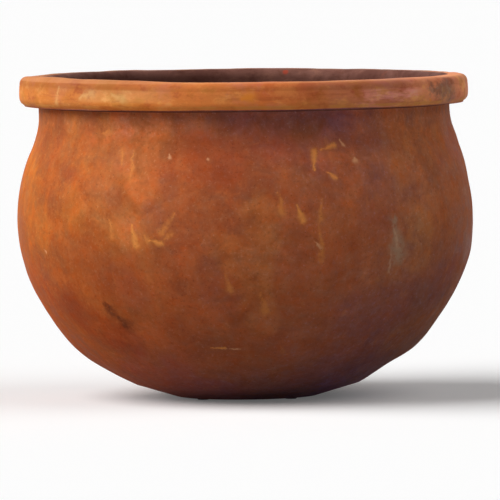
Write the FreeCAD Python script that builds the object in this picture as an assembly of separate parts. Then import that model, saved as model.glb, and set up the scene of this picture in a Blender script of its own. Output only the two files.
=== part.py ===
import FreeCAD
import Part
import math
import os

# Bell planter: a wide moulded bowl with a drawn-in neck and a heavy rolled rim.
# The bowl is one fibre-reinforced shell. The rim is a moulded channel that drops over the edge of the
# neck, hides a steel hoop that keeps the mouth round, and is closed from below by a flat ring.
# A flanged drain bush is clamped through the floor by a back nut, a rubber plug shuts it from below, and
# a loose perforated disc keeps the soil out of it. Four rubber pads hold the base off the ground.
# Frame: millimetres, +Z up along the axis of the bowl, origin on the ground under the middle of the base.

# Outer form
HEIGHT = 500.0
BELLY_RADIUS = 355.0
BELLY_Z = 282.0
BOWL_DEPTH = 300.0
SHOULDER_RADIUS = 256.0
NECK_RADIUS = 320.0
NECK_Z = 449.0

# Shell
WALL = 8.0
FLOOR = 14.0
BASE_RADIUS = 110.0
BASE_CONE_RADIUS = 178.0
FOOT_RING_WIDTH = 28.0
RECESS_DEPTH = 18.0
RECESS_DRAFT = 4.0
BASE_EDGE_RADIUS = 3.0
FLOOR_FILLET = 20.0

# Rim
RIM_RADIUS = 350.0
RIM_HEIGHT = 43.0
RIM_SKIN = 8.0
RIM_TOP_OUTER_RADIUS = 12.0
RIM_TOP_INNER_RADIUS = 14.0
RIM_LOWER_OUTER_RADIUS = 7.0
RIM_LOWER_INNER_RADIUS = 5.0
CLOSING_RING_THICKNESS = 6.0
HOOP_THICKNESS = 6.0
HOOP_WIDTH = 25.0

# Feet
PAD_COUNT = 4
PAD_RADIUS = 9.0
PAD_THICKNESS = 5.0
PAD_PROUD = 2.0
PAD_EDGE_RADIUS = 1.2
PAD_FIRST_ANGLE = 45.0

# Drain fitting
DRAIN_BORE_RADIUS = 14.0
SHANK_RADIUS = 20.0
SHANK_CLEARANCE = 0.5
SHANK_BELOW_NUT = 0.5
FLANGE_RADIUS = 34.0
FLANGE_THICKNESS = 5.0
FLANGE_CHAMFER = 1.5
FLANGE_GAP = 2.0
GASKET_THICKNESS = 2.0
NUT_SIDES = 6
NUT_FLATS = 58.0
NUT_HEIGHT = 7.5
NUT_CHAMFER = 1.5

# Drain plug
PLUG_CLEARANCE = 0.1
PLUG_STEM = 18.0
PLUG_LEAD_IN = 1.5
PLUG_HEAD_RADIUS = 20.0
PLUG_HEAD_THICKNESS = 4.0
PLUG_HEAD_EDGE_RADIUS = 1.2
GRIP_LENGTH = 30.0
GRIP_WIDTH = 7.0
GRIP_HEIGHT = 5.0
GRIP_EDGE_RADIUS = 1.5

# Drain screen
SCREEN_RADIUS = 60.0
SCREEN_THICKNESS = 3.0
SCREEN_EDGE_RADIUS = 1.2
SCREEN_FOOT_HEIGHT = 6.0
SCREEN_FOOT_RADIUS = 4.0
SCREEN_FOOT_CIRCLE = 51.0
SCREEN_FOOT_COUNT = 4
SCREEN_HOLE_RADIUS = 3.0
SCREEN_HOLE_PITCH = 10.0
SCREEN_HOLE_RINGS = 4
HOLES_IN_FIRST_RING = 6

# Levels worked out from the sizes above
BASE_Z = PAD_PROUD
CEILING_Z = BASE_Z + RECESS_DEPTH
FLOOR_Z = CEILING_Z + FLOOR
RIM_BOTTOM_Z = HEIGHT - RIM_HEIGHT
NECK_TOP_Z = HEIGHT - RIM_SKIN
FLANGE_SEAT_Z = FLOOR_Z - FLANGE_THICKNESS - GASKET_THICKNESS
SHANK_END_Z = CEILING_Z - NUT_HEIGHT - SHANK_BELOW_NUT
SCREEN_Z = FLOOR_Z + SCREEN_FOOT_HEIGHT

# The shoulder arc turns inwards by this angle, and the hollow of the neck turns back by the same angle.
SHOULDER_TURN = 2.0 * math.atan((BELLY_RADIUS - NECK_RADIUS) / (NECK_Z - BELLY_Z))
NECK_HOLLOW_RADIUS = (NECK_Z - BELLY_Z) / math.sin(SHOULDER_TURN) - SHOULDER_RADIUS

ORIGIN = FreeCAD.Vector(0, 0, 0)
UP = FreeCAD.Vector(0, 0, 1)
FULL_TURN = 360.0

# An edge this near to a level or a radius counts as lying on it.
TOUCHING = 0.01


def at(radius, z):
    """A point of a profile, in the plane of X and Z."""
    return FreeCAD.Vector(radius, 0, z)


def line(start, end):
    return Part.LineSegment(start, end).toShape()


def arc(start, middle, end):
    return Part.Arc(start, middle, end).toShape()


def round_corner(before, corner, after, radius):
    """The three points of the arc of that radius which rounds a corner between two straight runs."""
    back = (before - corner).normalize()
    on = (after - corner).normalize()
    half_angle = back.getAngle(on) / 2.0
    reach = radius / math.tan(half_angle)
    bisector = (back + on).normalize()
    nearest = radius / math.sin(half_angle) - radius
    return corner + back * reach, corner + bisector * nearest, corner + on * reach


def rounded_run(corners, closed=False):
    """Edges through corners, each (radius, z, rounding), with a tangent arc at each rounding."""
    points = [at(radius, z) for radius, z, rounding in corners]
    count = len(points)
    stops = []
    for index, (radius, z, rounding) in enumerate(corners):
        if rounding:
            after = points[(index + 1) % count]
            stops.append(round_corner(points[index - 1], points[index], after, rounding))
        else:
            stops.append((points[index],))
    edges = []
    for index, stop in enumerate(stops):
        if len(stop) == 3:
            edges.append(arc(*stop))
        if index + 1 < count or closed:
            edges.append(line(stop[-1], stops[(index + 1) % count][0]))
    return edges


def turned(edges):
    """The solid that a closed profile sweeps round the axis."""
    face = Part.Face(Part.Wire(Part.__sortEdges__(edges)))
    return Part.Solid(face.revolve(ORIGIN, UP, FULL_TURN))


def ring(inner_radius, outer_radius, low, high):
    """A plain ring of rectangular section."""
    return turned(rounded_run([
        (inner_radius, low, 0),
        (outer_radius, low, 0),
        (outer_radius, high, 0),
        (inner_radius, high, 0),
    ], closed=True))


def pin(radius, low, high, x=0.0, y=0.0):
    return Part.makeCylinder(radius, high - low, FreeCAD.Vector(x, y, low), UP)


def on_circle(radius, count, first_angle=0.0):
    """Evenly spaced (x, y) places on a circle round the axis."""
    for index in range(count):
        angle = math.radians(first_angle + FULL_TURN * index / count)
        yield radius * math.cos(angle), radius * math.sin(angle)


def upper_wall(depth):
    """The neck and shoulder, at that depth inside the outer face, from the top edge down to the belly."""
    shoulder_centre = at(BELLY_RADIUS - SHOULDER_RADIUS, BELLY_Z)
    hollow_centre = at(NECK_RADIUS + NECK_HOLLOW_RADIUS, NECK_Z)

    def on_shoulder(angle):
        return shoulder_centre + at(math.cos(angle), math.sin(angle)) * (SHOULDER_RADIUS - depth)

    def on_hollow(angle):
        return hollow_centre - at(math.cos(angle), math.sin(angle)) * (NECK_HOLLOW_RADIUS + depth)

    half = SHOULDER_TURN / 2.0
    return [
        line(at(NECK_RADIUS - depth, NECK_TOP_Z), on_hollow(0.0)),
        arc(on_hollow(0.0), on_hollow(half), on_hollow(SHOULDER_TURN)),
        arc(on_shoulder(SHOULDER_TURN), on_shoulder(half), on_shoulder(0.0)),
    ]


def bowl_sweep(depth, end_sine):
    """The elliptical lower bowl at that depth inside the outer face, from the belly to the given sine."""
    centre = at(0, BELLY_Z)
    across = centre + at(BELLY_RADIUS - depth, 0)
    down = centre - at(0, BOWL_DEPTH - depth)
    ellipse = Part.Ellipse(across, down, centre)
    return Part.ArcOfEllipse(ellipse, 0.0, math.asin(end_sine)).toShape()


def bowl_shell():
    outer_sine = math.sqrt(1.0 - (BASE_CONE_RADIUS / BELLY_RADIUS) ** 2)
    cone_top_z = BELLY_Z - BOWL_DEPTH * outer_sine
    inner_sine = (BELLY_Z - FLOOR_Z) / (BOWL_DEPTH - WALL)
    floor_radius = (BELLY_RADIUS - WALL) * math.sqrt(1.0 - inner_sine ** 2)
    recess_radius = BASE_RADIUS - FOOT_RING_WIDTH
    hole_radius = SHANK_RADIUS + SHANK_CLEARANCE
    seat_radius = FLANGE_RADIUS + FLANGE_GAP
    base = rounded_run([
        (BASE_CONE_RADIUS, cone_top_z, 0),
        (BASE_RADIUS, BASE_Z, BASE_EDGE_RADIUS),
        (recess_radius, BASE_Z, BASE_EDGE_RADIUS),
        (recess_radius - RECESS_DRAFT, CEILING_Z, BASE_EDGE_RADIUS),
        (hole_radius, CEILING_Z, 0),
        (hole_radius, FLANGE_SEAT_Z, 0),
        (seat_radius, FLANGE_SEAT_Z, 0),
        (seat_radius, FLOOR_Z, 0),
        (floor_radius, FLOOR_Z, 0),
    ])
    top_edge = line(at(NECK_RADIUS - WALL, NECK_TOP_Z), at(NECK_RADIUS, NECK_TOP_Z))
    outside = upper_wall(0.0) + [bowl_sweep(0.0, outer_sine)]
    inside = upper_wall(WALL) + [bowl_sweep(WALL, inner_sine)]
    shell = turned(outside + base + inside + [top_edge])
    floor_corner = [
        edge for edge in shell.Edges
        if abs(edge.BoundBox.ZMax - FLOOR_Z) < TOUCHING
        and abs(edge.BoundBox.ZMin - FLOOR_Z) < TOUCHING
        and abs(edge.BoundBox.XMax - floor_radius) < TOUCHING
    ]
    shell = shell.makeFillet(FLOOR_FILLET, floor_corner)
    for x, y in pad_places():
        shell = shell.cut(pin(PAD_RADIUS, BASE_Z, PAD_THICKNESS, x, y))
    return shell


def rim_cap():
    """A channel, open below, that drops over the top edge of the neck."""
    neck_inside = NECK_RADIUS - WALL
    mouth_radius = neck_inside - RIM_SKIN
    chamber_radius = RIM_RADIUS - RIM_SKIN
    return turned(rounded_run([
        (chamber_radius, RIM_BOTTOM_Z, 0),
        (RIM_RADIUS, RIM_BOTTOM_Z, RIM_LOWER_OUTER_RADIUS),
        (RIM_RADIUS, HEIGHT, RIM_TOP_OUTER_RADIUS),
        (mouth_radius, HEIGHT, RIM_TOP_INNER_RADIUS),
        (mouth_radius, RIM_BOTTOM_Z, RIM_LOWER_INNER_RADIUS),
        (neck_inside, RIM_BOTTOM_Z, 0),
        (neck_inside, NECK_TOP_Z, 0),
        (chamber_radius, NECK_TOP_Z, 0),
    ], closed=True))


def rim_closing_ring():
    return ring(NECK_RADIUS, RIM_RADIUS - RIM_SKIN, RIM_BOTTOM_Z, RIM_BOTTOM_Z + CLOSING_RING_THICKNESS)


def rim_hoop():
    """A rolled flat bar standing on the closing ring, tight round the neck."""
    low = RIM_BOTTOM_Z + CLOSING_RING_THICKNESS
    return ring(NECK_RADIUS, NECK_RADIUS + HOOP_THICKNESS, low, low + HOOP_WIDTH)


def pad_places():
    return on_circle(BASE_RADIUS - FOOT_RING_WIDTH / 2.0, PAD_COUNT, PAD_FIRST_ANGLE)


def foot_pad(x, y):
    pad = turned(rounded_run([
        (0, 0, 0),
        (PAD_RADIUS, 0, PAD_EDGE_RADIUS),
        (PAD_RADIUS, PAD_THICKNESS, 0),
        (0, PAD_THICKNESS, 0),
    ], closed=True))
    pad.translate(FreeCAD.Vector(x, y, 0))
    return pad


def drain_bush():
    flange_z = FLOOR_Z - FLANGE_THICKNESS
    return turned(rounded_run([
        (DRAIN_BORE_RADIUS, SHANK_END_Z, 0),
        (SHANK_RADIUS, SHANK_END_Z, 0),
        (SHANK_RADIUS, flange_z, 0),
        (FLANGE_RADIUS, flange_z, 0),
        (FLANGE_RADIUS, FLOOR_Z - FLANGE_CHAMFER, 0),
        (FLANGE_RADIUS - FLANGE_CHAMFER, FLOOR_Z, 0),
        (DRAIN_BORE_RADIUS, FLOOR_Z, 0),
    ], closed=True))


def drain_gasket():
    return ring(SHANK_RADIUS, FLANGE_RADIUS, FLANGE_SEAT_Z, FLANGE_SEAT_Z + GASKET_THICKNESS)


def drain_nut():
    """A hexagon with its corners turned off, screwed up the shank against the ceiling of the recess."""
    low = CEILING_Z - NUT_HEIGHT
    corner_radius = NUT_FLATS / 2.0 / math.cos(math.pi / NUT_SIDES)
    corners = [FreeCAD.Vector(x, y, low) for x, y in on_circle(corner_radius, NUT_SIDES)]
    hexagon = Part.Face(Part.makePolygon(corners + corners[:1])).extrude(UP * NUT_HEIGHT)
    turned_corners = turned(rounded_run([
        (SHANK_RADIUS, low, 0),
        (corner_radius - NUT_CHAMFER, low, 0),
        (corner_radius, low + NUT_CHAMFER, 0),
        (corner_radius, CEILING_Z, 0),
        (SHANK_RADIUS, CEILING_Z, 0),
    ], closed=True))
    return hexagon.common(turned_corners)


def drain_plug():
    """A round stopper pushed up into the bush, with a head under the shank and a bar to pull it by."""
    stem_radius = DRAIN_BORE_RADIUS - PLUG_CLEARANCE
    stem_top = SHANK_END_Z + PLUG_STEM
    head_z = SHANK_END_Z - PLUG_HEAD_THICKNESS
    grip_z = head_z - GRIP_HEIGHT
    stopper = turned(rounded_run([
        (0, head_z, 0),
        (PLUG_HEAD_RADIUS, head_z, PLUG_HEAD_EDGE_RADIUS),
        (PLUG_HEAD_RADIUS, SHANK_END_Z, 0),
        (stem_radius, SHANK_END_Z, 0),
        (stem_radius, stem_top - PLUG_LEAD_IN, 0),
        (stem_radius - PLUG_LEAD_IN, stem_top, 0),
        (0, stem_top, 0),
    ], closed=True))
    corner = FreeCAD.Vector(-GRIP_LENGTH / 2.0, -GRIP_WIDTH / 2.0, grip_z)
    grip = Part.makeBox(GRIP_LENGTH, GRIP_WIDTH, GRIP_HEIGHT, corner)
    free_edges = [edge for edge in grip.Edges if edge.BoundBox.ZMin < head_z - TOUCHING]
    return stopper.fuse(grip.makeFillet(GRIP_EDGE_RADIUS, free_edges)).removeSplitter()


def drain_screen():
    """A perforated disc standing on short feet over the drain."""
    top = SCREEN_Z + SCREEN_THICKNESS
    disc = turned(rounded_run([
        (0, SCREEN_Z, 0),
        (SCREEN_RADIUS, SCREEN_Z, SCREEN_EDGE_RADIUS),
        (SCREEN_RADIUS, top, SCREEN_EDGE_RADIUS),
        (0, top, 0),
    ], closed=True))
    feet = [
        pin(SCREEN_FOOT_RADIUS, FLOOR_Z, SCREEN_Z + SCREEN_THICKNESS / 2.0, x, y)
        for x, y in on_circle(SCREEN_FOOT_CIRCLE, SCREEN_FOOT_COUNT)
    ]
    holes = [pin(SCREEN_HOLE_RADIUS, SCREEN_Z, top)]
    for step in range(1, SCREEN_HOLE_RINGS + 1):
        places = on_circle(step * SCREEN_HOLE_PITCH, step * HOLES_IN_FIRST_RING)
        holes += [pin(SCREEN_HOLE_RADIUS, SCREEN_Z, top, x, y) for x, y in places]
    return disc.fuse(feet).cut(holes).removeSplitter()


def main():
    parts = {
        "bowl_shell": bowl_shell(),
        "rim_cap": rim_cap(),
        "rim_closing_ring": rim_closing_ring(),
        "rim_hoop": rim_hoop(),
        "drain_bush": drain_bush(),
        "drain_gasket": drain_gasket(),
        "drain_nut": drain_nut(),
        "drain_plug": drain_plug(),
        "drain_screen": drain_screen(),
    }
    for number, (x, y) in enumerate(pad_places(), start=1):
        parts[f"foot_pad_{number}"] = foot_pad(x, y)
    os.makedirs("parts", exist_ok=True)
    for name, shape in parts.items():
        print(f"{name}: {len(shape.Solids)} solid, valid {shape.isValid()}, {shape.Volume:.0f} mm3")
        shape.exportStep(os.path.join("parts", f"{name}.step"))


main()
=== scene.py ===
import bpy
import math
from mathutils import Matrix, Vector


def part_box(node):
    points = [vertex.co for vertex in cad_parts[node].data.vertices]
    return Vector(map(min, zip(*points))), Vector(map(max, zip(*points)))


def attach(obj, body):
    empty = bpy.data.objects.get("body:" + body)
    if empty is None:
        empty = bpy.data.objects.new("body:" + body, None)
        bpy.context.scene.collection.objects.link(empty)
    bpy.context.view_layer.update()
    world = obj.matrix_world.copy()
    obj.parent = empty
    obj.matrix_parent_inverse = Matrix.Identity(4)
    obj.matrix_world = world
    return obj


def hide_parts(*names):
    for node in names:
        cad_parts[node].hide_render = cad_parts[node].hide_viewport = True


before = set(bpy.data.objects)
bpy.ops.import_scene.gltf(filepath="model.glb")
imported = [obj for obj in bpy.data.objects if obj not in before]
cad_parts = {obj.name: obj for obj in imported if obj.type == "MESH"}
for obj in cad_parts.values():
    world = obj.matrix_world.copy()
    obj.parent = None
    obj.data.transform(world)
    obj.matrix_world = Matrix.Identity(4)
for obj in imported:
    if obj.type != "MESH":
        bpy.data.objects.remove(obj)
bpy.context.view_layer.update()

# Sizes in metres. The frame's boxes give the outer sizes, the rest repeats the planter's section.
BOWL_LOW, BOWL_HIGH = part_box("bowl_shell")
RIM_LOW, RIM_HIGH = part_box("rim_cap")
BELLY_RADIUS = BOWL_HIGH[0]
BASE_Z = BOWL_LOW[2]
NECK_TOP_Z = BOWL_HIGH[2]
RIM_RADIUS = RIM_HIGH[0]
RIM_BOTTOM_Z = RIM_LOW[2]
TOP_Z = RIM_HIGH[2]
BELLY_Z = 0.282
BOWL_DEPTH = 0.300
SHOULDER_RADIUS = 0.256
NECK_RADIUS = 0.320
NECK_Z = 0.449
WALL = 0.008
RIM_SKIN = 0.008
BASE_RADIUS = 0.110
BASE_CONE_RADIUS = 0.178
FOOT_RING_WIDTH = 0.028
RECESS_DRAFT = 0.004
BASE_ROUNDING = 0.003
CEILING_Z = 0.020
FLOOR_Z = 0.034
FLOOR_ROUNDING = 0.020
DRAIN_HOLE_RADIUS = 0.0205
FLANGE_SEAT_RADIUS = 0.036
FLANGE_SEAT_Z = 0.027
MOUTH_RADIUS = NECK_RADIUS - WALL - RIM_SKIN

# The shoulder arc turns inwards by this angle, and the hollow of the neck turns back by it.
SHOULDER_TURN = 2.0 * math.atan((BELLY_RADIUS - NECK_RADIUS) / (NECK_Z - BELLY_Z))
NECK_HOLLOW_RADIUS = (NECK_Z - BELLY_Z) / math.sin(SHOULDER_TURN) - SHOULDER_RADIUS
CONE_TOP_Z = BELLY_Z - BOWL_DEPTH * math.sqrt(1.0 - (BASE_CONE_RADIUS / BELLY_RADIUS) ** 2)

# Fineness of the turned meshes
TURN_STEPS = 320
OUTSIDE_SPACING = 0.006
INSIDE_SPACING = 0.012
ROUNDING_STEPS = 7
WELD = 0.0001

# Attributes that the finishes read
PATCHES = "patches"
TRUE_PLACE = "true_place"


# Outlines, as (radius from the axis, height)

def arc_run(centre, radius, start, end, spacing):
    """Points along an arc round a centre, from one angle to another."""
    steps = max(2, math.ceil(abs(end - start) * abs(radius) / spacing))
    angles = [start + (end - start) * step / steps for step in range(steps + 1)]
    return [(centre[0] + radius * math.cos(a), centre[1] + radius * math.sin(a)) for a in angles]


def straight_run(start, end, spacing):
    """Points along a straight line, ends included."""
    steps = max(1, math.ceil(math.dist(start, end) / spacing))
    shares = [step / steps for step in range(steps + 1)]
    return [(start[0] + (end[0] - start[0]) * s, start[1] + (end[1] - start[1]) * s) for s in shares]


def rounded_corner(before, corner, after, rounding):
    """Points of the arc that rounds a corner between two straight runs."""
    corner_at = Vector(corner)
    back = (Vector(before) - corner_at).normalized()
    on = (Vector(after) - corner_at).normalized()
    half = back.angle(on) / 2.0
    centre = corner_at + (back + on).normalized() * (rounding / math.sin(half))
    first = corner_at + back * (rounding / math.tan(half)) - centre
    last = corner_at + on * (rounding / math.tan(half)) - centre
    turn = math.remainder(math.atan2(last.y, last.x) - math.atan2(first.y, first.x), math.tau)
    points = []
    for step in range(ROUNDING_STEPS + 1):
        spoke = Matrix.Rotation(turn * step / ROUNDING_STEPS, 2) @ first
        points.append(tuple(centre + spoke))
    return points


def rounded_run(corners, spacing):
    """Points through corners, each (radius, height, rounding), with straight runs cut to the spacing."""
    stops = []
    for index, (radius, height, rounding) in enumerate(corners):
        if rounding:
            before = corners[index - 1][:2]
            after = corners[(index + 1) % len(corners)][:2]
            stops.append(rounded_corner(before, (radius, height), after, rounding))
        else:
            stops.append([(radius, height)])
    points = list(stops[0])
    for stop in stops[1:]:
        points += straight_run(points[-1], stop[0], spacing)[1:]
        points += stop[1:]
    return points


def wall_line(depth, lowest, spacing):
    """The wall at that depth inside the bowl's outer face, from the neck's top edge down to a height."""
    hollow = (NECK_RADIUS + NECK_HOLLOW_RADIUS, NECK_Z)
    shoulder = (BELLY_RADIUS - SHOULDER_RADIUS, BELLY_Z)
    neck = straight_run((NECK_RADIUS - depth, NECK_TOP_Z), (NECK_RADIUS - depth, NECK_Z), spacing)
    hollow_run = arc_run(hollow, -(NECK_HOLLOW_RADIUS + depth), 0.0, SHOULDER_TURN, spacing)
    shoulder_run = arc_run(shoulder, SHOULDER_RADIUS - depth, SHOULDER_TURN, 0.0, spacing)
    across = BELLY_RADIUS - depth
    down = BOWL_DEPTH - depth
    end = math.asin((BELLY_Z - lowest) / down)
    steps = math.ceil(end * (across + down) / 2.0 / spacing)
    bowl_run = []
    for step in range(1, steps + 1):
        angle = end * step / steps
        bowl_run.append((across * math.cos(angle), BELLY_Z - down * math.sin(angle)))
    return neck + hollow_run[1:] + shoulder_run[1:] + bowl_run


def wall_radius(height):
    """Radius of the outer face of the wall at a height."""
    if height > RIM_BOTTOM_Z:
        return RIM_RADIUS
    if height > NECK_Z:
        return NECK_RADIUS
    if height > BELLY_Z + SHOULDER_RADIUS * math.sin(SHOULDER_TURN):
        rise = (NECK_Z - height) / NECK_HOLLOW_RADIUS
        return NECK_RADIUS + NECK_HOLLOW_RADIUS * (1.0 - math.sqrt(1.0 - rise ** 2))
    if height > BELLY_Z:
        rise = (height - BELLY_Z) / SHOULDER_RADIUS
        return BELLY_RADIUS - SHOULDER_RADIUS * (1.0 - math.sqrt(1.0 - rise ** 2))
    if height > CONE_TOP_Z:
        return BELLY_RADIUS * math.sqrt(1.0 - ((BELLY_Z - height) / BOWL_DEPTH) ** 2)
    share = (height - BASE_Z) / (CONE_TOP_Z - BASE_Z)
    return BASE_RADIUS + (BASE_CONE_RADIUS - BASE_RADIUS) * share


def on_wall(degrees, height):
    """The place on the outside at an angle from the front, counted towards +X, and a height."""
    angle = math.radians(degrees)
    radius = wall_radius(height)
    return Vector((radius * math.sin(angle), -radius * math.cos(angle), height))


# Modelling by hand

def turn_outline(name, outline):
    """Draws a closed outline point by point from one vertex and spins it round the axis."""
    bpy.ops.object.select_all(action="DESELECT")
    bpy.ops.mesh.primitive_plane_add(size=WELD, location=(outline[0][0], 0.0, outline[0][1]))
    piece = bpy.context.object
    piece.name = name
    bpy.ops.object.transform_apply(location=True, rotation=True, scale=True)
    bpy.ops.object.mode_set(mode="EDIT")
    bpy.ops.mesh.select_mode(type="VERT")
    bpy.ops.mesh.select_all(action="SELECT")
    bpy.ops.mesh.merge(type="CENTER")
    for start, end in zip(outline, outline[1:] + outline[:1]):
        move = (end[0] - start[0], 0.0, end[1] - start[1])
        bpy.ops.mesh.extrude_region_move(TRANSFORM_OT_translate={"value": move})
    bpy.ops.mesh.select_all(action="SELECT")
    bpy.ops.mesh.remove_doubles(threshold=WELD)
    bpy.ops.mesh.spin(steps=TURN_STEPS, angle=math.tau, center=(0, 0, 0), axis=(0, 0, 1))
    bpy.ops.mesh.select_all(action="SELECT")
    bpy.ops.mesh.remove_doubles(threshold=WELD)
    bpy.ops.mesh.normals_make_consistent(inside=False)
    bpy.ops.object.mode_set(mode="OBJECT")
    return piece


def weigh(piece, name, weight_at):
    """A vertex group whose weights, to the nearest hundredth, follow from each vertex's place."""
    group = piece.vertex_groups.new(name=name)
    hundredths = {}
    for vertex in piece.data.vertices:
        hundredths.setdefault(round(100 * weight_at(vertex.co)), []).append(vertex.index)
    for hundredth, indices in hundredths.items():
        group.add(indices, hundredth / 100.0, "REPLACE")
    return group.name


def undulate(piece, name, group, size, depth):
    """Uneven swells of about that size and depth, as a hand-laid skin has them."""
    swells = bpy.data.textures.new(name, "CLOUDS")
    swells.noise_scale = size
    swells.noise_depth = 1
    bpy.ops.object.modifier_add(type="DISPLACE")
    displace = piece.modifiers[-1]
    displace.texture = swells
    displace.texture_coords = "LOCAL"
    displace.vertex_group = group
    displace.mid_level = 0.5
    displace.strength = depth
    bpy.ops.object.modifier_apply(modifier=displace.name)


def lift(piece, group, height):
    """Raises the skin by a height where the weights of a group are 1."""
    bpy.ops.object.modifier_add(type="DISPLACE")
    displace = piece.modifiers[-1]
    displace.direction = "Z"
    displace.vertex_group = group
    displace.mid_level = 0.0
    displace.strength = height
    bpy.ops.object.modifier_apply(modifier=displace.name)


def push(piece, place, distance, reach):
    """Pushes the skin out or in at a place, with a smooth fall-off over the reach."""
    bpy.ops.object.mode_set(mode="EDIT")
    bpy.ops.mesh.select_all(action="DESELECT")
    bpy.ops.object.mode_set(mode="OBJECT")
    nearest = min(piece.data.vertices, key=lambda vertex: (vertex.co - place).length_squared)
    nearest.select = True
    move = nearest.normal * distance
    bpy.ops.object.mode_set(mode="EDIT")
    bpy.ops.transform.translate(
        value=move,
        use_proportional_edit=True,
        use_proportional_connected=True,
        proportional_edit_falloff="SMOOTH",
        proportional_size=reach,
    )
    bpy.ops.object.mode_set(mode="OBJECT")


def note_places(piece):
    """Keeps the place of each vertex on the true turned form, before the skin is made uneven."""
    layer = piece.data.attributes.new(TRUE_PLACE, "FLOAT_VECTOR", "POINT")
    for vertex, spot in zip(piece.data.vertices, layer.data):
        spot.vector = vertex.co


def smoothstep(low, high, value):
    """0 at the low value and 1 at the high one, with a smooth rise between them."""
    share = min(1.0, max(0.0, (value - low) / (high - low)))
    return share * share * (3.0 - 2.0 * share)


# Bowl

# Swells all over the skin: name, size, depth
BOWL_SWELLS = (
    ("broad_swells", 0.16, 0.0036),
    ("small_swells", 0.045, 0.0014),
)
# The skin swells fully between these heights.
SKIN_FULL_LOW = 0.03
SKIN_FULL_HIGH = RIM_BOTTOM_Z - 0.03
BOWL_SMOOTHING = math.radians(40)

# Where the skin is pushed out or in: degrees from the front, height, outwards, reach
BOWL_PUSHES = (
    (90.0, 0.408, 0.0050, 0.085),
    (90.0, 0.440, -0.0035, 0.045),
    (90.0, 0.215, 0.0030, 0.080),
    (-88.0, 0.075, 0.0040, 0.080),
    (86.0, 0.042, -0.0040, 0.060),
    (84.0, 0.085, 0.0030, 0.070),
    (-84.0, 0.020, -0.0025, 0.045),
    (170.0, 0.350, 0.0030, 0.120),
    (215.0, 0.140, -0.0030, 0.110),
    (140.0, 0.200, 0.0025, 0.100),
)


def bowl_outline():
    outside = wall_line(0.0, CONE_TOP_Z, OUTSIDE_SPACING)
    inside = wall_line(WALL, FLOOR_Z, INSIDE_SPACING)
    recess_radius = BASE_RADIUS - FOOT_RING_WIDTH
    # The round at the floor takes the place of the lowest points of the inner wall.
    foot_of_wall = -5
    base = rounded_run([
        (*outside[-1], 0),
        (BASE_RADIUS, BASE_Z, BASE_ROUNDING),
        (recess_radius, BASE_Z, BASE_ROUNDING),
        (recess_radius - RECESS_DRAFT, CEILING_Z, BASE_ROUNDING),
        (DRAIN_HOLE_RADIUS, CEILING_Z, 0),
        (DRAIN_HOLE_RADIUS, FLANGE_SEAT_Z, 0),
        (FLANGE_SEAT_RADIUS, FLANGE_SEAT_Z, 0),
        (FLANGE_SEAT_RADIUS, FLOOR_Z, 0),
        (inside[-1][0], FLOOR_Z, FLOOR_ROUNDING),
        (*inside[foot_of_wall], 0),
    ], INSIDE_SPACING)
    return outside + base[1:] + inside[foot_of_wall - 1::-1]


def is_past_wall(place):
    """True outside the middle of the wall's thickness."""
    return math.hypot(place.x, place.y) > wall_radius(max(place.z, BASE_Z)) - WALL / 2.0


def is_outside(place):
    """True on the outer face of the wall, the base left out."""
    return place.z > BASE_Z + BASE_ROUNDING and is_past_wall(place)


def outside_weight(place):
    """Full on the outer face, fading out towards the base and the neck, where other pieces fit."""
    if not is_outside(place) or place.z > RIM_BOTTOM_Z:
        return 0.0
    from_base = smoothstep(BASE_Z, SKIN_FULL_LOW, place.z)
    return from_base * smoothstep(RIM_BOTTOM_Z, SKIN_FULL_HIGH, place.z)


# A patch is full over this share of its width, and fades from there.
PATCH_CORE = 0.1

# Broad patches on the outside: start and end as (degrees from the front, height), and half the width
OCHRE_PATCHES = (
    ((3.5, 0.310), (4.0, 0.260), 0.050),
    ((-6.0, 0.250), (2.0, 0.220), 0.050),
    ((2.0, 0.190), (5.0, 0.130), 0.045),
    ((-38.0, 0.310), (-28.0, 0.280), 0.065),
    ((49.0, 0.276), (50.0, 0.225), 0.050),
    ((-78.0, 0.370), (-64.0, 0.270), 0.070),
    ((-52.0, 0.325), (-46.0, 0.290), 0.050),
    ((-47.0, 0.425), (-26.0, 0.370), 0.115),
    ((130.0, 0.330), (150.0, 0.180), 0.075),
    ((215.0, 0.300), (235.0, 0.400), 0.070),
)
RED_PATCHES = (
    ((-16.0, 0.388), (-6.0, 0.376), 0.072),
    ((-56.0, 0.150), (-42.0, 0.100), 0.065),
    ((190.0, 0.250), (170.0, 0.120), 0.090),
    ((250.0, 0.200), (262.0, 0.110), 0.080),
)
ROSE_PATCHES = (
    ((-32.0, 0.438), (-6.0, 0.438), 0.036),
    ((38.0, 0.368), (50.0, 0.326), 0.080),
    ((2.0, 0.232), (12.0, 0.222), 0.050),
    ((-40.0, 0.320), (-34.0, 0.280), 0.065),
    ((66.0, 0.330), (80.0, 0.250), 0.080),
    ((110.0, 0.400), (120.0, 0.260), 0.090),
)
BROWN_PATCHES = (
    ((27.0, 0.425), (38.0, 0.412), 0.050),
    ((-46.0, 0.240), (-32.0, 0.175), 0.065),
    ((-34.8, 0.330), (-34.4, 0.316), 0.028),
    ((-23.8, 0.306), (-23.6, 0.288), 0.030),
    ((-19.5, 0.352), (-19.1, 0.336), 0.026),
    ((36.5, 0.347), (35.0, 0.290), 0.060),
    ((34.0, 0.140), (64.0, 0.180), 0.080),
    ((160.0, 0.420), (200.0, 0.430), 0.050),
    ((100.0, 0.150), (130.0, 0.110), 0.070),
)


def soft_mask(place, start, end, width):
    """1 along the line from start to end, fading to 0 at the width."""
    course = end - start
    share = min(1.0, max(0.0, (place - start).dot(course) / course.length_squared))
    return smoothstep(width, PATCH_CORE * width, (place - start - course * share).length)


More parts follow.
